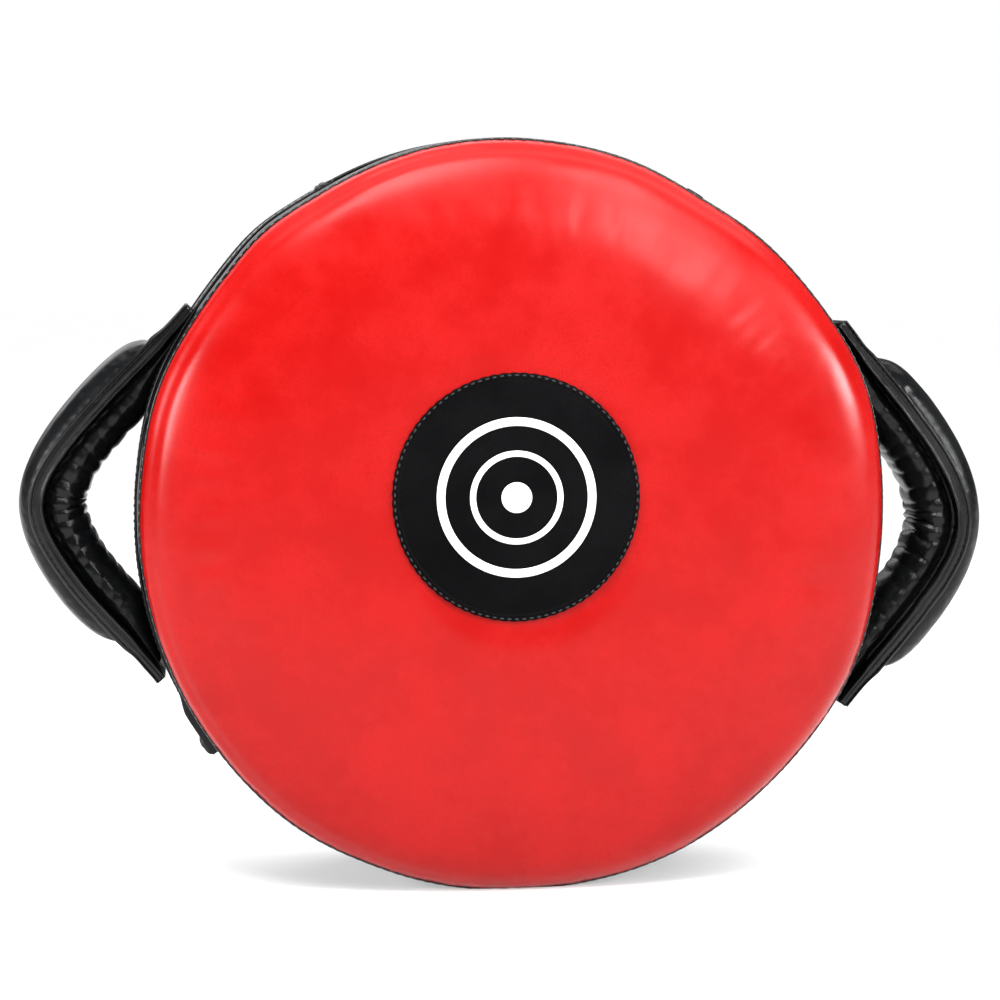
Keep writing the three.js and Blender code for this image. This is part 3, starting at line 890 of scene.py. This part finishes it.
def loop_filling(loop):
    """The foam inside a loop's outer pad and inside its grip."""
    heights, _ = loop.heights(-loop.pad_end + 14 * MM, loop.pad_end - 14 * MM, 8 * MM)
    a = np.linspace(0, math.pi, 13)
    n = 0.8 * MM + (pad_height(loop, heights) - 4 * MM)[:, None] * np.sin(a)
    grid = loop.points(heights[:, None], n, -25 * MM * np.cos(a))
    strip = closed_sweep(f"{loop.side}_loop_pad_filling", grid, DENSE_FOAM)
    loop.join(strip, "dense_foam", "loop_pad_foam", fill=1.0)
    heights, _ = loop.heights(-70 * MM, 70 * MM, 8 * MM)
    around = turn_angles(16)
    n = -STRAP_THICK - 9 * MM + 5.5 * MM * np.cos(around)
    grid = loop.points(heights[:, None], n, 16 * MM * np.sin(around))
    roll = closed_sweep(f"{loop.side}_grip_filling", grid, SOFT_FOAM)
    loop.join(roll, "soft_foam", "grip_foam", fill=0.8)


def grip_cover(loop):
    """The broad gathered leather tube that the hand closes on.

    Its leather is much longer than the bend it lies in, so it gathers into folds that run across it. Under
    the flaps the tube is pressed flat between the strap and the carrier band.
    """
    heights, along = loop.heights(-loop.tip + 5 * MM, loop.tip - 5 * MM, 1.5 * MM)
    around = turn_angles(76)
    full = loop.roll - 1.3 * MM * smoothstep(12 * MM, 45 * MM, np.abs(heights))
    top = -STRAP_THICK - 0.2 * MM
    open_space = 1.0
    room = np.where(np.abs(heights) > 55 * MM, loop.room_under(heights), open_space) + top - 0.8 * MM
    flat = np.clip(room / 2, 2 * MM, full)
    wide = 26.5 * MM + 0.3 * (full - flat)
    # Its section is flat against the strap, nearly as wide as the strap, and round on the hand's side.
    by_strap = np.cos(around) > 0
    n = top - flat[:, None] + flat[:, None] * rounded(np.cos(around), np.where(by_strap, 0.6, 1.0))
    y = wide[:, None] * rounded(np.sin(around), np.where(by_strap, 0.72, 0.85))
    # The folds are of uneven width: their phase runs along the tube, pushed about by noise.
    spot = (along[:, None], 12 * MM * np.cos(around), 20 * MM * np.sin(around))
    spot = np.stack(np.broadcast_arrays(*spot), axis=-1)
    phase = along[:, None] / (12 * MM) + 0.75 * noise_at(spot, 26 * MM, loop.seed)
    phase += 0.2 * noise_at(spot, 9 * MM, loop.seed + 1)
    fold = np.abs(np.sin(math.pi * phase)) ** 0.65
    fullness = np.clip((flat - 4 * MM) / (full - 4 * MM), 0, 1)
    gather = (0.3 + 0.7 * bump(along, 0, 50 * MM)) * fullness
    on_hand_side = 0.5 - 0.5 * np.cos(around)
    depth = 3.2 * MM * gather[:, None] * (0.5 + 0.5 * on_hand_side)
    depth = depth * (0.75 + 0.5 * noise_at(spot, 15 * MM, loop.seed + 4))
    fine = 0.25 * MM * noise_at(spot * np.array([2.4, 0.8, 0.8]), 7 * MM, loop.seed + 2)
    lift = depth * (fold - 0.75) + fine * fullness[:, None]
    lifted_n = np.minimum(n + lift * np.cos(around), top)
    start = loop.points(heights[:, None], lifted_n, y + lift * np.sin(around))
    cover = closed_sweep(f"{loop.side}_grip_leather", start, SOFT_BLACK)
    # The cut length of the leather: the tube laid straight, and longer where it is gathered.
    stretch = 1 + 0.7 * (0.25 + 0.75 * bump(along, 0, 70 * MM))
    cut_along = np.concatenate([[0], np.cumsum(np.diff(along) * (stretch[1:] + stretch[:-1]) / 2)])
    rest = np.stack([np.broadcast_to(cut_along[:, None], n.shape), 1.06 * y, 1.06 * (n - top)], axis=-1)
    index = np.arange(n.size).reshape(n.shape)
    on_strap = index[:, np.cos(around) > math.cos(math.radians(50))]
    pins = np.concatenate([part.ravel() for part in (on_strap, index[:2], index[-2:])])

    def finish():
        smooth = cover.modifiers.new("smooth", "SUBSURF")
        smooth.levels = smooth.render_levels = 1
        loop.join(cover, "black_leather", "grip_cover", fill=0.6)

    soft_pieces.append(SoftPiece(cover, pins, finish, 3.2 * MM, rest=rest, scale=10))


def strap(loop):
    heights, _ = loop.heights(-loop.tip + 1.5 * MM, loop.tip - 1.5 * MM, 3 * MM)
    outline = rounded_rectangle(-STRAP_THICK, 0, -STRAP_HALF, STRAP_HALF, 1.2 * MM)
    n = outline[:, 0] + loop.flare(heights)[:, None]
    grid = loop.points(heights[:, None], n, outline[:, 1])
    loop.join(closed_sweep(f"{loop.side}_strap_webbing", grid, WEBBING), "webbing", "strap")


def edge_binding(loop, where, edge):
    """Leather folded round one long edge of the strap: a flat strip with a thin welt along each edge."""
    heights, _ = loop.heights(-loop.tip, loop.tip, 1.5 * MM)
    squeeze = 1 - 0.25 * smoothstep(loop.tip - 22 * MM, loop.tip - 14 * MM, loop.away(heights))
    flare = loop.flare(heights)
    inner_y, welt_y = 24.5 * MM, 31.6 * MM
    outline = [(3.1 * MM, inner_y)]
    for centre in (2.0 * MM, -4.6 * MM):
        for a in np.radians(np.linspace(90, -90, 11)):
            outline.append((centre + 1.1 * MM * math.sin(a), welt_y + 1.3 * MM * math.cos(a)))
        if centre > 0:
            face = np.linspace(0.6 * MM, -3.2 * MM, 6)
            outline += [(n, 31.3 * MM + 0.5 * MM * math.sqrt(1 - (n / MM + 1.3) ** 2 / 3.8)) for n in face]
    outline = np.array([*outline, (-5.7 * MM, inner_y)])
    middle = -1.3 * MM
    n = middle + (outline[:, 0] - middle) * squeeze[:, None] + flare[:, None]
    y = edge * np.broadcast_to(outline[:, 1], n.shape)
    grid = loop.points(heights[:, None], n, y)
    wobble = noise_at(grid, 14 * MM, 60 + edge) + 0.5 * noise_at(grid, 5 * MM, 64 + edge)
    outer = outline[:, 1] > 30 * MM
    grid = loop.points(heights[:, None], n + 0.25 * MM * wobble, y + edge * 0.22 * MM * wobble * outer)
    binding = closed_sweep(f"{loop.side}_edge_tape_{where}", grid, EDGE)
    loop.join(binding, "black_binding", f"edge_binding_{where}")
    path = loop.points(heights, middle + 2.0 * MM * squeeze + flare, edge * welt_y)
    out = np.broadcast_to(edge * ALONG, path.shape)
    name = f"{loop.side}_edge_stitches_{where}"
    row = stitched(name, path, out, DARK_THREAD, pitch=4.2 * MM, cover=0.7, radius=0.24 * MM)
    loop.join(row, "black_binding")


def flaps(loop):
    """The sewn ends of a loop: the strap's end in a leather sleeve."""
    inner, outer = loop.tip - 23 * MM, loop.tip + 0.5 * MM
    outline = rounded_rectangle(-4.9 * MM, 1.2 * MM, -31.2 * MM, 31.2 * MM, 1.4 * MM)
    for name, end in (("upper", 1), ("lower", -1)):
        heights, _ = loop.heights(*sorted((end * inner, end * outer)), 1.2 * MM)
        n = outline[:, 0] + loop.flare(heights)[:, None]
        grid = loop.points(heights[:, None], n, outline[:, 1])
        wobble = noise_at(grid, 18 * MM, 70 + end)
        grid = loop.points(heights[:, None], n + 0.4 * MM * wobble, outline[:, 1])
        sleeve = closed_sweep(f"{loop.side}_{name}_flap_sleeve", grid, BLACK)
        loop.join(sleeve, "black_leather", f"{name}_flap")


def carrier(side, sign):
    """The band round the pad's side that carries a loop, sewn along both edges, with a tab at each end."""
    half = (carrier_high.y - carrier_low.y) / 2
    centre = (carrier_high.y + carrier_low.y) / 2
    low, high = -38, 62  # degrees round the rim, from the middle of the side
    place = np.radians(np.linspace(low, high, 260))
    angle = math.pi - place if sign < 0 else place
    thick = CARRIER_R - BELLY_R
    across = np.linspace(half - 3 * MM, -half + 3 * MM, 24)
    puff = 0.35 * MM * (1 - (across / half) ** 4)
    outline = np.array([
        (0, -half),
        (0, half),
        (thick - 1.0 * MM, half),
        (thick - 0.3 * MM, half - 0.5 * MM),
        *zip(thick + puff, across),
        (thick - 0.3 * MM, -half + 0.5 * MM),
        (thick - 1.0 * MM, -half),
    ])
    surface = outline[:, 0] > 1 * MM
    full_lump = (2.8 if side == "left" else 0.8) * MM
    lump = full_lump * smoothstep(math.radians(-27), math.radians(-31), place)
    radius = BELLY_R + 0.1 * MM + outline[:, 0] + lump[:, None] * surface
    rings = round_pad(radius, angle[:, None], centre + outline[:, 1])
    ripple = 0.3 * MM * noise_at(rings, 16 * MM, 81) * surface
    rings += ripple[..., None] * spoke(angle)[:, None, :]
    ride(closed_sweep(f"{side}_carrier_leather", rings, BLACK), "black_leather", f"{side}_carrier_band")
    for where, edge in (("front", -1), ("rear", 1)):
        path = round_pad(CARRIER_R + 0.05 * MM, angle, centre + edge * (half - 4 * MM))
        name = f"{side}_carrier_stitches_{where}"
        row = stitched(name, path, spoke(angle), DARK_THREAD, pitch=4.6 * MM, radius=0.33 * MM)
        ride(row, "black_leather")
    from_end = 1.7
    tab(side, sign, "upper", high - from_end, centre, half, CARRIER_R, 0.9 * MM)
    tab(side, sign, "lower", low + from_end, centre, half, CARRIER_R + full_lump, 2.2 * MM)


def tab(side, sign, name, degrees, centre, half, radius, full):
    """A carrier's folded end: a low ridge across it, with a rivet near each side."""
    spread = np.linspace(-1, 1, 17)
    angle = np.radians(degrees + 1.5 * spread)
    hump = full * np.sqrt(np.clip(1 - np.abs(spread) ** 4, 0.02, 1))
    if sign < 0:
        angle = math.pi - angle
    across = np.linspace(-half + 0.6 * MM, half - 0.6 * MM, 40)[:, None]
    ends = np.sqrt(np.clip(1 - np.abs(across / half) ** 30, 0.02, 1))
    top = round_pad(radius + 0.2 * MM + hump * ends, angle, centre + across)
    under = round_pad(radius - 0.9 * MM, angle[::-1], centre + across)
    ridge = closed_sweep(f"{side}_{name}_tab_leather", np.concatenate([top, under], axis=1), EDGE)
    ride(ridge, "black_binding", f"{side}_{name}_carrier_tab")
    for where in ("front", "rear"):
        rivet(f"{side}_{name}_{where}_rivet", radius + full - 0.4 * MM)


def rivet(node, radius):
    """A domed rivet head with a rolled rim."""
    low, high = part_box(node)
    centre = (low + high) / 2
    out = Vector((centre.x, 0, centre.z - AXIS_Z)).normalized()
    turn = np.array(out.to_track_quat("Z", "Y").to_matrix())
    base = round_pad(radius, math.atan2(out.z, out.x), centre.y)
    # Radius and height in mm, from the middle of the dome over its rim to the middle of the underside.
    dome_line = ((0.05, 1.7), (1.2, 1.55), (2.0, 1.1), (2.5, 0.45))
    rim_line = ((2.9, 0.4), (3.1, 0.15), (3.0, -0.2), (0.05, -0.2))
    around = turn_angles(28)
    rings = []
    for r, h in dome_line + rim_line:
        ring = MM * np.stack([r * np.cos(around), r * np.sin(around), np.full(around.shape, h)], axis=-1)
        rings.append(base + ring @ turn.T)
    ride(closed_sweep(f"{node}_head", rings, STEEL), "dark_metal", node)


# ---- the zip ----
def zip_strip(name, outline, look, slot, node, spare, roughen):
    """A strip along the zip, through an outline of (radius, y) corners."""
    outline = np.asarray(outline, float)
    angle = np.radians(np.linspace(ZIP_FROM + spare, ZIP_TO - spare, ZIP_TO - ZIP_FROM + 1))
    rings = round_pad(outline[:, 0], angle[:, None], outline[:, 1])
    rings = rings + (roughen * noise_at(rings, 9 * MM, 90))[..., None] * np.array([0.6, 0.5, 0.6])
    ride(closed_sweep(name, rings, look), slot, node)


def closing_zip():
    tape_in = BELLY_R - 1.6 * MM
    tape_out = tape_in + 0.7 * MM
    for where, side in (("front", -1), ("rear", 1)):
        near, far = ZIP_Y + side * 0.2 * MM, ZIP_Y + side * 5.6 * MM
        tape = [(tape_in, near), (tape_in, far), (tape_out, far), (tape_out, near)]
        zip_strip(f"zip_tape_{where}_cloth", tape, TAPE, "zip_tape", f"zip_tape_{where}", 0.4, 0.0)
        lip = rounded_rectangle(BELLY_R + 0.1 * MM, BELLY_R + 2.6 * MM, 4.5 * MM, 9.0 * MM, 1.2 * MM)
        lip[:, 1] = ZIP_Y + side * lip[:, 1]
        zip_strip(f"zip_lip_{where}_leather", lip, BLACK, "black_leather", f"zip_lip_{where}", 0.0, 0.15 * MM)
        fine = np.radians(np.linspace(ZIP_FROM + 0.5, ZIP_TO - 0.5, 400))
        path = round_pad(BELLY_R + 2.22 * MM, fine, ZIP_Y + side * 7.2 * MM)
        name = f"zip_lip_stitches_{where}"
        ride(stitched(name, path, spoke(fine), DARK_THREAD, pitch=4.2 * MM, radius=0.3 * MM), "black_leather")
        coil_row(where, side, tape_in + 1.5 * MM)
    for name, at in (("right", ZIP_FROM - 1.5), ("left", ZIP_TO + 1.5)):
        end_tab(name, math.radians(at))


def coil_row(where, side, radius):
    """One side of the nylon coil: a close row of teeth, each hooked over the middle."""
    pitch = 1.7 * MM
    count = round(math.radians(ZIP_TO - ZIP_FROM - 1) * radius / pitch)
    angle = np.radians(np.linspace(ZIP_FROM + 0.5, ZIP_TO - 0.5, count))
    if side > 0:
        angle = angle + 0.5 * pitch / radius
    around = turn_angles(6)
    # Across from the zip's middle and half the thread's thickness, in mm, along one tooth.
    stations = ((1.95, 0.30), (1.2, 0.50), (0.3, 0.52), (-0.2, 0.62), (-0.45, 0.35))
    points, faces = [], []
    for k, a in enumerate(angle):
        start = len(points) * len(around)
        for across, girth in stations:
            r = radius + 0.1 * MM + girth * MM * np.cos(around)
            swing = a + girth * MM * 0.85 * np.sin(around) / radius
            points.append(round_pad(r, swing, ZIP_Y + side * across * MM))
        faces += tube_faces(len(stations), len(around), start)
    row = turn_out(new_object(f"zip_coil_{where}_teeth", np.array(points), faces, COIL))
    ride(row, "zip_coil", f"zip_coil_{where}")


def end_tab(name, middle):
    """The small leather tab over an end of the zip."""
    spread = np.linspace(-1, 1, 13)
    angle = middle + spread * math.radians(1.2)
    hump = 2.2 * MM * np.sqrt(np.clip(1 - np.abs(spread) ** 4, 0.02, 1))
    across = np.linspace(-8 * MM, 8 * MM, 17)[:, None]
    top = round_pad(BELLY_R + 0.4 * MM + hump, angle, ZIP_Y + across)
    under = round_pad(BELLY_R + 0.2 * MM, angle[::-1], ZIP_Y + across)
    made = closed_sweep(f"zip_end_tab_{name}_leather", np.concatenate([top, under], axis=1), EDGE)
    ride(made, "black_binding", f"zip_end_tab_{name}")


def cad_metal():
    """The slider, its pull and pin keep their CAD shapes, with softened edges."""
    for name in ("zip_slider", "zip_pull", "zip_pull_pin"):
        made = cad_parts[name]
        made.data.materials.clear()
        made.data.materials.append(STEEL)
        bevel = made.modifiers.new("soft_edges", "BEVEL")
        bevel.width = 0.3 * MM
        bevel.segments = 3
        bevel.limit_method = "ANGLE"
        bevel.angle_limit = math.radians(35)


# ---- stage ----
def stage():
    look = Look("pale_floor")
    slow = look.noise(300 * MM, detail=2.0)
    look.set(
        Base_Color=look.blend(slow, (0.58, 0.58, 0.58), (0.62, 0.62, 0.62)),
        Roughness=look.ramp(slow, 0.3, 0.7, 0.75, 0.85),
        Emission_Color=(1.0, 1.0, 1.0),
        Emission_Strength=0.34,
        Specular_IOR_Level=0.1,
    )
    size = 30.0
    corners = [(-size, -size, 0), (size, -size, 0), (size, size, 0), (-size, size, 0)]
    new_object("floor", corners, [(0, 1, 2, 3)], look.done())
    studio_light()


def studio_light():
    """A white surround that lights things gently, a broad sun for the floor, and soft boxes for the gloss."""
    world = bpy.data.worlds.new("studio")
    bpy.context.scene.world = world
    world.use_nodes = True
    tree = world.node_tree
    surround = tree.nodes["Background"]
    surround.inputs["Color"].default_value = (1, 1, 1, 1)
    # It is seen as plain white, and is much dimmer as a light.
    path = tree.nodes.new("ShaderNodeLightPath")
    strength = tree.nodes.new("ShaderNodeMapRange")
    strength.inputs["To Min"].default_value = 0.14
    strength.inputs["To Max"].default_value = 1.0
    tree.links.new(path.outputs["Is Camera Ray"], strength.inputs["Value"])
    tree.links.new(strength.outputs["Result"], surround.inputs["Strength"])
    sun = bpy.data.lights.new("sun", "SUN")
    sun.energy = 3.1
    sun.angle = math.radians(90)
    place_light(sun, (0.2, 0.4, 2.4))
    lights = (
        ("key_box", (0.5, -0.8, 1.2), 0.45, 7.5),
        ("sheen_box", (0.66, -1.45, 0.95), 0.5, 12),
        ("right_box", (1.7, -0.9, 0.7), 0.45, 32),
        ("left_box", (-1.7, -0.8, 0.7), 0.5, 40),
        ("top_box", (-0.25, -0.75, 1.4), 0.6, 20),
        ("back_box", (-0.6, 1.9, 1.3), 1.6, 12),
    )
    for name, where, width, power in lights:
        light = bpy.data.lights.new(name, "AREA")
        light.shape = "SQUARE"
        light.size = width
        light.energy = power
        place_light(light, where)


def place_light(light, where):
    """Puts a light at a place, turned towards the middle of the pad."""
    holder = bpy.data.objects.new(light.name, light)
    holder.location = where
    holder.rotation_euler = (Vector((0, 0, AXIS_Z)) - Vector(where)).to_track_quat("-Z", "Y").to_euler()
    bpy.context.scene.collection.objects.link(holder)


def camera():
    azimuth, elevation, distance = math.radians(-7.2), math.radians(5), 1.5
    frame_width = 0.596
    level = math.cos(elevation)
    back = Vector((math.sin(azimuth) * level, -math.cos(azimuth) * level, math.sin(elevation)))
    data = bpy.data.cameras.new("camera")
    data.sensor_width = 36
    data.lens = data.sensor_width * distance / frame_width
    aim = Vector((-10 * MM, FRONT_SEAM_Y, AXIS_Z + 12 * MM))
    made = bpy.data.objects.new("camera", data)
    made.location = aim + back * distance
    made.rotation_euler = (-back).to_track_quat("-Z", "Y").to_euler()
    bpy.context.scene.collection.objects.link(made)
    bpy.context.scene.camera = made
    bpy.context.scene.view_settings.view_transform = "Standard"


camera()
stage()
foam_discs()
front_cover()
back_cover()
side_band()
seam_binding("front", FRONT_SEAM_Y, SEAM_R + 0.2 * MM, -1, PALE_THREAD)
seam_binding("back", BACK_SEAM_Y, SEAM_R + 0.6 * MM, 1, DARK_THREAD)
target_patch()
loops = (
    Loop(
        side="left", turn=2.1, reach=LOOP_REACH + 1.4 * MM, bend=36 * MM, tuck=4 * MM, crown=13.2 * MM,
        roll=11.0 * MM, pad_end=88 * MM, tip=111 * MM, middle=8 * MM, seed=100,
    ),
    Loop(
        side="right", turn=-1.5, reach=LOOP_REACH - 0.5 * MM, bend=47 * MM, tuck=-2 * MM, crown=17.4 * MM,
        roll=10.2 * MM, pad_end=93 * MM, tip=117 * MM, middle=4 * MM, seed=200,
    ),
)
for loop in loops:
    loop_pad(loop)
    loop_filling(loop)
    grip_cover(loop)
    strap(loop)
    edge_binding(loop, "front", -1)
    edge_binding(loop, "rear", 1)
    flaps(loop)
    carrier(loop.side, loop.sign)
settle_all()
closing_zip()
cad_metal()
